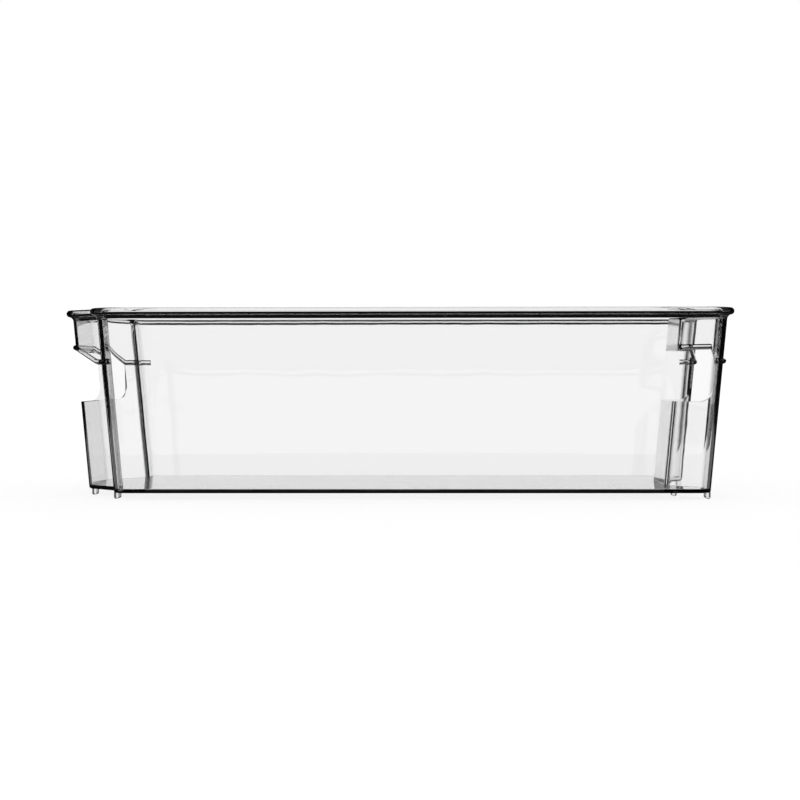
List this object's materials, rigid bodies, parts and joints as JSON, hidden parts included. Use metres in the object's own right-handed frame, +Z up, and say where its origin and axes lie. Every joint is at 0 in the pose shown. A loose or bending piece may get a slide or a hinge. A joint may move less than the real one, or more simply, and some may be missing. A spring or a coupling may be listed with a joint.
{
  "type": "fridge drawer organizer",
  "caption": "Clear open-topped plastic fridge bin with a rolled rim, drafted walls, a proud grip bay with a hand-hole in front and a matching inset bay behind",
  "frame": {"origin": "middle of the whole outline, on the surface the feet stand on", "axes": "+X from the front (proud grip bay, at -X) to the back (inset bay, at +X), +Z up out of the open top, +Y to the left side seen from the front"},
  "size_m": [0.3174, 0.158, 0.089],
  "materials": {
    "clear_plastic": "clear, colourless, polished injection-moulded plastic, faintly grey through two walls"
  },
  "bodies": {
    "root": {"floor_pan": "clear_plastic", "left_side_wall": "clear_plastic", "right_side_wall": "clear_plastic", "left_rim": "clear_plastic", "right_rim": "clear_plastic", "front_rim": "clear_plastic", "back_rim": "clear_plastic", "front_left_corner": "clear_plastic", "front_right_corner": "clear_plastic", "back_left_corner": "clear_plastic", "back_right_corner": "clear_plastic", "front_panel": "clear_plastic", "front_grip": "clear_plastic", "back_panel": "clear_plastic", "back_grip": "clear_plastic", "front_handhole_lip": "clear_plastic", "back_handhole_lip": "clear_plastic", "corner_feet": "clear_plastic", "front_bay_feet": "clear_plastic", "back_bay_feet": "clear_plastic"}
  },
  "joints": []
}
